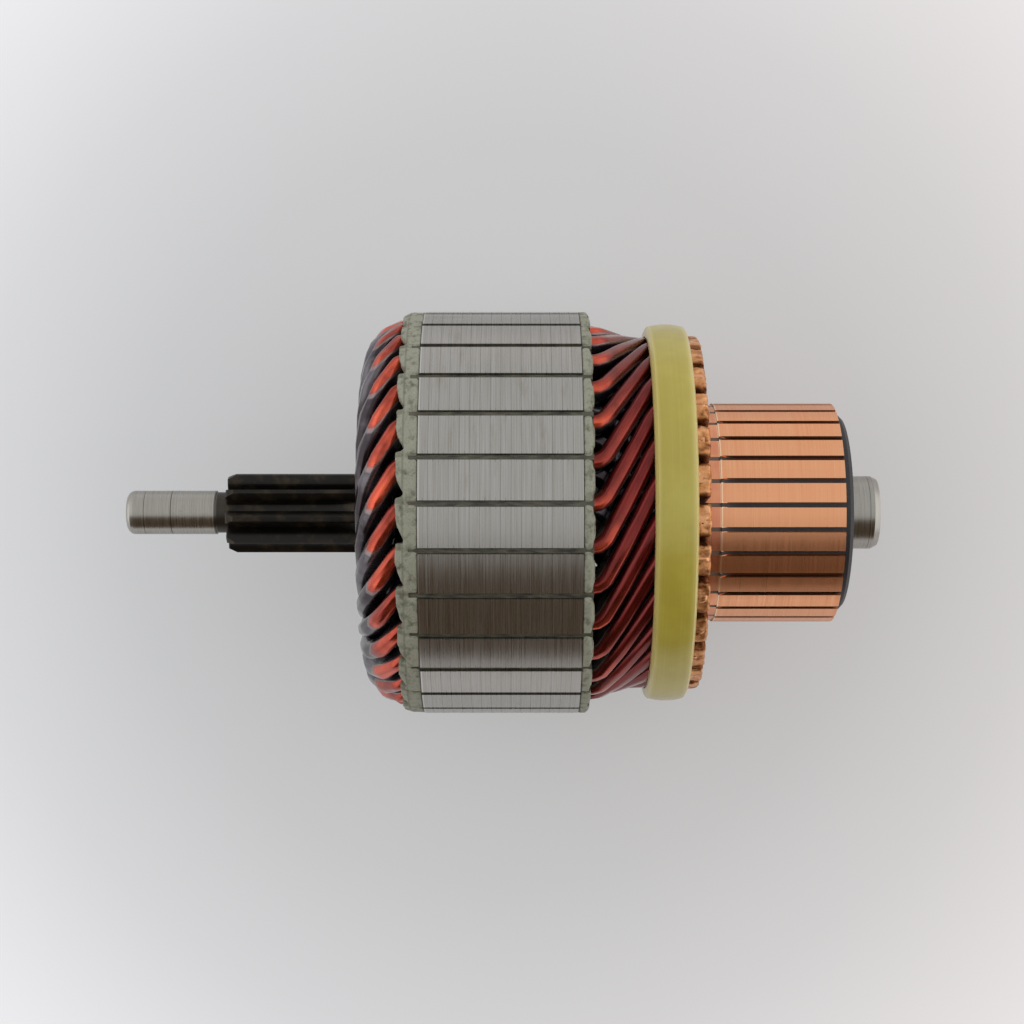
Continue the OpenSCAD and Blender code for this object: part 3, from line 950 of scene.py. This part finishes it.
@dataclass
class WireCage:
    """Rings of one coil's cage, which tell its enamel how far out and along the wire a point lies."""

    sides: int = 8
    end_x: float = 26.2 * MM
    bend_x: float = -12.0 * MM
    bend_radius: float = 19.5 * MM

    def mark(self, coil: bpy.types.Object) -> None:
        """Writes the marks of one coil, as far as its faces have four sides from each end.

        Args:
            coil: Coil before it is rounded. Points that neither walk reaches keep marks of 0.
        """
        mesh = coil.data
        for name in ("crown", "across", "way"):
            mesh.attributes.new(name, "FLOAT", "POINT")
        self.mark_rings(mesh, self.rings(mesh, True))
        self.mark_rings(mesh, self.rings(mesh, False))

    def mark_rings(self, mesh: bpy.types.Mesh, rings: list[list[int]]) -> None:
        """Writes how far out, across and along the wire each point of some rings lies.

        Args:
            mesh: The cage.
            rings: Points of each ring, in the order of the walk.
        """
        marks = mesh.attributes
        centres = [sum((mesh.vertices[i].co for i in ring), Vector()) / self.sides for ring in rings]
        way = 0.0
        for number, ring in enumerate(rings):
            if number:
                way += (centres[number] - centres[number - 1]).length
            along = (centres[min(number + 1, len(rings) - 1)] - centres[max(number - 1, 0)]).normalized()
            outward = self.outward(centres[number])
            outward = (outward - along * outward.dot(along)).normalized()
            beside = along.cross(outward)
            offsets = [mesh.vertices[i].co - centres[number] for i in ring]
            tall = max(offset.dot(outward) for offset in offsets)
            wide = max(offset.dot(beside) for offset in offsets)
            for index, offset in zip(ring, offsets):
                marks["crown"].data[index].value = offset.dot(outward) / tall
                marks["across"].data[index].value = offset.dot(beside) / wide
                marks["way"].data[index].value = way
        LOG.info("coil cage: %d rings, %.1f mm of wire", len(rings), way / MM)

    def outward(self, place: Vector) -> Vector:
        """Finds which way is out of the winding.

        Args:
            place: Middle of the wire.

        Returns:
            A unit vector: away from the shaft, or away from the bend's middle at the drive end.
        """
        radial = Vector((0, place.y, place.z)).normalized()
        if place.x > self.bend_x:
            return radial
        rise = math.hypot(place.y, place.z) - self.bend_radius
        return (Vector((place.x - self.bend_x, 0, 0)) + radial * rise).normalized()

    def rings(self, mesh: bpy.types.Mesh, upper: bool) -> list[list[int]]:
        """Walks the cage from one of its ends.

        Args:
            mesh: The cage.
            upper: Starts at the end further from the shaft.

        Returns:
            The points of each ring, in an order that runs on from ring to ring. The walk
            ends at the first face with three sides.
        """
        near: dict[int, set[int]] = {v.index: set() for v in mesh.vertices}
        for edge in mesh.edges:
            a, b = edge.vertices
            near[a].add(b)
            near[b].add(a)
        ends = [v for v in mesh.vertices if v.co.x > self.end_x]
        top = (max if upper else min)(ends, key=lambda v: math.hypot(v.co.y, v.co.z))
        start = sorted(ends, key=lambda v: (v.co - top.co).length)[: self.sides]
        middle = sum((v.co for v in start), Vector()) / self.sides
        up = Vector((0, middle.y, middle.z)).normalized()
        beside = up.cross(Vector((1, 0, 0)))
        start.sort(key=lambda v: math.atan2((v.co - middle).dot(up), (v.co - middle).dot(beside)))
        rings = [[v.index for v in start]]
        seen = set(rings[0])
        while True:
            free = [near[i] - seen for i in rings[-1]]
            if not all(len(f) == 1 for f in free):
                return rings
            rings.append([f.pop() for f in free])
            seen.update(rings[-1])


@dataclass
class Winding:
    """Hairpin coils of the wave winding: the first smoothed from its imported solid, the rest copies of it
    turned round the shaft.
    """

    levels: int = 2
    quad_angle: float = 60.0
    quad_shape: float = 110.0
    edge_hold: float = 0.45
    swell: float = 0.09 * MM
    shoulder: float = 0.8 * MM
    shoulder_start: float = -11.6 * MM
    shoulder_rise: float = 1.8 * MM
    shoulder_end: float = -18.6 * MM
    shoulder_fall: float = 4.6 * MM
    shoulder_foot: float = 20.5 * MM
    shoulder_depth: float = 2.5 * MM
    cage: WireCage = field(default_factory=WireCage)
    finish: WireEnamel = field(default_factory=WireEnamel)

    def build(self, nodes: dict[str, bpy.types.Object]) -> None:
        """Makes the first coil and copies it round the shaft.

        Args:
            nodes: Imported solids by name.
        """
        first = self.first_coil(nodes["coil_01"])
        dress(first, self.finish.build())
        coils = [first] + [copy_of(first, f"coil_wire_{i + 1:02d}") for i in range(1, LAYOUT.pitch_count)]
        for index, coil in enumerate(coils):
            turned_about_shaft(coil, index * LAYOUT.pitch)
            seat(coil, Slot.ENAMEL, f"coil_{index + 1:02d}")

    def first_coil(self, node: bpy.types.Object) -> bpy.types.Object:
        """Rounds one coil and marks its points.

        Args:
            node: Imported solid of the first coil.

        Returns:
            The rounded coil.
        """
        coil = merged_copy(node, "coil_wire_01")
        select_only(coil)
        bpy.ops.object.mode_set(mode="EDIT")
        bpy.ops.mesh.select_all(action="SELECT")
        bpy.ops.mesh.tris_convert_to_quads(
            face_threshold=math.radians(self.quad_angle), shape_threshold=math.radians(self.quad_shape)
        )
        bpy.ops.transform.shrink_fatten(value=self.swell)
        bpy.ops.transform.edge_crease(value=self.edge_hold)
        bpy.ops.object.mode_set(mode="OBJECT")
        self.cage.mark(coil)
        self.raise_shoulder(coil)
        apply_modifier(coil, "SUBSURF", levels=self.levels, render_levels=self.levels)
        select_only(coil)
        bpy.ops.object.shade_smooth()
        return coil


    def raise_shoulder(self, coil: bpy.types.Object) -> None:
        """Lifts the wire where it leaves the drive-end plate, so that it turns over the rim.

        Args:
            coil: Coil before it is rounded.
        """
        for vertex in coil.data.vertices:
            rim = math.hypot(vertex.co.y, vertex.co.z)
            rise = share_of(self.shoulder_start - vertex.co.x, self.shoulder_rise)
            fall = share_of(vertex.co.x - self.shoulder_end, self.shoulder_fall)
            top = share_of(rim - self.shoulder_foot, self.shoulder_depth)
            factor = 1.0 + self.shoulder * rise * fall * top / rim
            vertex.co.y *= factor
            vertex.co.z *= factor


@dataclass
class EndPlates:
    """The two insulating end plates with their ragged cuffs."""

    voxel: float = 0.3 * MM
    ripple: float = 0.3 * MM
    ripple_size: float = 1.5 * MM
    strip_rim: float = 27.0 * MM
    strip_depth: float = 1.25 * MM
    strip_width: float = 1.15 * MM
    rough_from: float = 10.6 * MM
    rough_reach: float = 1.0 * MM
    rough_radius: float = 22 * MM
    rim: float = 27.4 * MM
    slope_from: float = 12.1 * MM
    slope: float = 0.42
    finish: EndPlateBoard = field(default_factory=EndPlateBoard)

    def build(self, nodes: dict[str, bpy.types.Object]) -> None:
        """Makes both plates.

        Args:
            nodes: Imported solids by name.
        """
        material = self.finish.build()
        for name in ("drive_end_insulator", "commutator_end_insulator"):
            plate = merged_copy(nodes[name], name.replace("insulator", "board"))
            self.add_strip(plate)
            apply_modifier(plate, "REMESH", mode="VOXEL", voxel_size=self.voxel)
            apply_modifier(plate, "SMOOTH", factor=0.5, iterations=3)
            self.ragged(plate)
            dress(plate, material)
            select_only(plate)
            bpy.ops.object.shade_smooth()
            seat(plate, Slot.END_PLATE, name)

    def add_strip(self, plate: bpy.types.Object) -> None:
        """Closes the rim between the cuffs with a flat strip against the core.

        Args:
            plate: Plate that gets the strip.
        """
        sign = 1.0 if plate.data.vertices[0].co.x > 0 else -1.0
        middle = sign * (LAYOUT.comm_face * MM + self.strip_width / 2)
        bpy.ops.object.select_all(action="DESELECT")
        bpy.ops.mesh.primitive_cylinder_add(
            vertices=174, radius=self.strip_rim, depth=self.strip_width,
            end_fill_type="NOTHING", location=(middle, 0, 0), rotation=(0, math.radians(90), 0),
        )
        strip = bpy.context.object
        bpy.ops.object.transform_apply(location=True, rotation=True, scale=True)
        apply_modifier(strip, "SOLIDIFY", thickness=self.strip_depth, offset=-1.0)
        select_only(plate)
        strip.select_set(True)
        bpy.ops.object.join()

    def ragged(self, plate: bpy.types.Object) -> None:
        """Roughens the plate where it is free of the core, and slopes the drive end's cuffs.

        Args:
            plate: Plate to roughen.
        """
        clouds = bpy.data.textures.new(plate.name + "_clouds", "CLOUDS")
        clouds.noise_scale = self.ripple_size
        clouds.noise_depth = 2
        free = plate.vertex_groups.new(name="free")
        sign = 1.0 if plate.data.vertices[0].co.x > 0 else -1.0
        for vertex in plate.data.vertices:
            out = sign * vertex.co.x
            rim = math.hypot(vertex.co.y, vertex.co.z)
            limit = self.rim - self.slope * max(0.0, out - self.slope_from)
            if sign < 0 and rim > limit:
                vertex.co.y *= limit / rim
                vertex.co.z *= limit / rim
            share = share_of(out - self.rough_from, self.rough_reach) if rim > self.rough_radius else 0.0
            free.add([vertex.index], share, "REPLACE")
        apply_modifier(
            plate, "DISPLACE", texture=clouds, texture_coords="LOCAL",
            strength=self.ripple if sign < 0 else self.ripple / 2, mid_level=0.62, vertex_group="free",
        )


@dataclass
class RiserHeads:
    """Lumpy heads that hot joining leaves on the risers."""

    length: float = 2.1
    width: float = 4.25
    height: float = 2.5
    rim: float = 24.15
    overhang: float = 0.06
    lumps: float = 0.5 * MM
    lump_size: float = 1.1 * MM
    texture_reach: float = 0.4
    seed: int = 7
    finish: BrazedHead = field(default_factory=BrazedHead)

    def build(self) -> None:
        """Makes one head, copies it to each riser and makes each a little uneven."""
        first = self.first_head()
        dress(first, self.finish.build())
        rng = random.Random(self.seed)
        heads = [first] + [copy_of(first, f"riser_head_{i + 1:02d}") for i in range(1, LAYOUT.pitch_count)]
        for index, head in enumerate(heads):
            self.uneven(head, rng)
            turned_about_shaft(head, LAYOUT.bar_phase + index * LAYOUT.pitch)
            seat(head, Slot.COPPER)

    def first_head(self) -> bpy.types.Object:
        """Makes the head that stands straight up.

        Returns:
            The head.
        """
        bpy.ops.object.select_all(action="DESELECT")
        x = LAYOUT.riser_end + self.overhang - self.length / 2
        middle = Vector((x, 0, self.rim - self.height / 2)) * MM
        bpy.ops.mesh.primitive_cube_add(size=1.0, location=middle)
        head = bpy.context.object
        head.name = "riser_head_01"
        head.scale = Vector((self.length, self.width, self.height)) * MM
        bpy.ops.object.transform_apply(location=True, rotation=True, scale=True)
        bpy.ops.object.mode_set(mode="EDIT")
        bpy.ops.mesh.select_all(action="SELECT")
        bpy.ops.mesh.subdivide(number_cuts=2)
        bpy.ops.object.mode_set(mode="OBJECT")
        apply_modifier(head, "SUBSURF", levels=2, render_levels=2)
        select_only(head)
        bpy.ops.object.shade_smooth()
        return head

    def uneven(self, head: bpy.types.Object, rng: random.Random) -> None:
        """Pushes a head's surface in and out a little.

        Args:
            head: Head to change.
            rng: Source of its unevenness.
        """
        shift = Vector((rng.random(), rng.random(), rng.random())) * self.texture_reach
        clouds = bpy.data.textures.new(head.name + "_clouds", "CLOUDS")
        clouds.noise_scale = self.lump_size
        head.data.transform(Matrix.Translation(shift))
        apply_modifier(
            head, "DISPLACE", texture=clouds, texture_coords="LOCAL", strength=self.lumps, mid_level=0.55
        )
        head.data.transform(Matrix.Translation(-shift))


@dataclass
class Solids:
    """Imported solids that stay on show, each with its own finish."""

    plan: tuple = (
        ("core_laminations", CoreSteel),
        ("slot_liners", LinerPaper),
        ("glass_band", GlassRoving),
        ("commutator_bars", BarCopper),
        ("commutator_moulding", MouldedResin),
        ("commutator_bush", InnerSteel),
        ("riser_side_ring", RingGlass),
        ("boss_side_ring", RingGlass),
        ("shaft", ShaftSteel),
    )

    def build(self, nodes: dict[str, bpy.types.Object]) -> None:
        """Dresses the solids.

        Args:
            nodes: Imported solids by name.
        """
        made: dict[type, bpy.types.Material] = {}
        for name, finish in self.plan:
            if finish not in made:
                made[finish] = finish().build()
            dress(nodes[name], made[finish])
            LOG.info("%s: %d faces", name, len(nodes[name].data.polygons))


@dataclass
class Studio:
    """Floor, surroundings and camera."""

    floor_z: float = -27.5 * MM
    floor_size: float = 3.0
    camera_place: tuple = (0.00142, 0.0000565, 0.2808)
    lens: float = 71.6
    light: float = 1.0
    light_falloff_reach: float = 0.125
    light_falloff_stops: tuple = (
        (0.0, (0.60, 0.60, 0.60)),
        (0.45, (0.66, 0.66, 0.665)),
        (0.64, (0.74, 0.735, 0.745)),
        (0.9, (0.92, 0.905, 0.92)),
        (1.0, (0.93, 0.915, 0.93)),
    )
    light_tint_reach: float = 0.2
    light_tint_stops: tuple = (
        (0.14, (1.06, 1.075, 1.09)),
        (0.34, (1.015, 1.02, 1.03)),
        (0.5, (1.0, 1.0, 1.0)),
        (0.86, (1.0, 0.978, 0.97)),
    )

    def build(self) -> None:
        """Makes the floor, the surroundings and the camera."""
        self.floor()
        self.world()
        self.camera()

    def floor(self) -> None:
        """Makes a matt floor with painted light: darker round the middle and paler further out, a little
        cooler and brighter on the left and warmer on the right.
        """
        bpy.ops.object.select_all(action="DESELECT")
        bpy.ops.mesh.primitive_plane_add(size=self.floor_size, location=(0, 0, self.floor_z))
        floor = bpy.context.object
        floor.name = "floor"
        bpy.ops.object.transform_apply(location=True, rotation=True, scale=True)
        g = Surface("floor_paper")
        # Painted light: the floor darker round the armature and paler further out, with a cool tint on the
        # left and a warm one on the right.
        pale = g.ramp(g.math("DIVIDE", g.distance(g.x, g.y), self.light_falloff_reach), list(self.light_falloff_stops))
        side = g.ramp(g.math("ADD", g.math("DIVIDE", g.x, self.light_tint_reach), 0.5), list(self.light_tint_stops))
        colour = g.mix(1.0, pale, side, "MULTIPLY")
        g.set(Base_Color=colour, Roughness=0.9, Specular_IOR_Level=0.2)
        rays = g.nodes.new("ShaderNodeLightPath").outputs
        passed_on = g.math("MAXIMUM", rays["Is Glossy Ray"], rays["Is Transmission Ray"])
        shown = g.math("MAXIMUM", rays["Is Camera Ray"], passed_on)
        glow = g.nodes.new("ShaderNodeEmission")
        g.feed(glow.inputs["Color"], colour)
        blend = g.nodes.new("ShaderNodeMixShader")
        g.feed(blend.inputs[0], g.math("MULTIPLY", shown, 0.5))
        g.links.new(g.shader.outputs[0], blend.inputs[1])
        g.links.new(glow.outputs[0], blend.inputs[2])
        g.links.new(blend.outputs[0], g.output.inputs["Surface"])
        dress(floor, g.material)

    def world(self) -> None:
        """Makes pale surroundings with one darker side, which the steel and copper mirror."""
        world = bpy.data.worlds.new("studio")
        world.use_nodes = True
        bpy.context.scene.world = world
        g = Graph(world.node_tree, "Generated")
        angle = g.math("ARCTAN2", g.math("MULTIPLY", g.y, -1.0), g.z)
        dark = g.window(angle, math.radians(22), math.radians(96), math.radians(8))
        dark = g.math("MULTIPLY", dark, g.window(g.x, -0.7, 0.7, 0.2))
        beside = g.span(g.math("ABSOLUTE", g.x), 0.3, 0.85, 0.78, 1.45)
        colour = g.mix(dark, g.vector(beside, beside, beside), (0.105, 0.071, 0.044))
        shade = g.nodes.new("ShaderNodeBackground")
        g.feed(shade.inputs["Color"], colour)
        shade.inputs["Strength"].default_value = self.light
        pale = g.nodes.new("ShaderNodeBackground")
        pale.inputs["Color"].default_value = (0.72, 0.72, 0.73, 1.0)
        blend = g.nodes.new("ShaderNodeMixShader")
        g.feed(blend.inputs[0], g.nodes.new("ShaderNodeLightPath").outputs["Is Camera Ray"])
        g.links.new(shade.outputs[0], blend.inputs[1])
        g.links.new(pale.outputs[0], blend.inputs[2])
        out = g.nodes.new("ShaderNodeOutputWorld")
        g.links.new(blend.outputs[0], out.inputs["Surface"])

    def camera(self) -> None:
        """Hangs the camera straight above, with the shaft level in its view."""
        data = bpy.data.cameras.new("camera")
        data.lens = self.lens
        data.sensor_width = 36.0
        data.clip_start = 0.01
        data.clip_end = 20.0
        camera = bpy.data.objects.new("camera", data)
        camera.location = self.camera_place
        bpy.context.scene.collection.objects.link(camera)
        bpy.context.scene.camera = camera


def main() -> None:
    """Builds the dressed armature in order."""
    logging.basicConfig(level=logging.INFO, format="%(name)s: %(message)s")
    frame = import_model()
    nodes = frame["nodes"]
    Winding().build(nodes)
    EndPlates().build(nodes)
    RiserHeads().build()
    Solids().build(nodes)
    Studio().build()
    bpy.context.scene.view_settings.view_transform = "Standard"


if __name__ == "__main__":
    main()
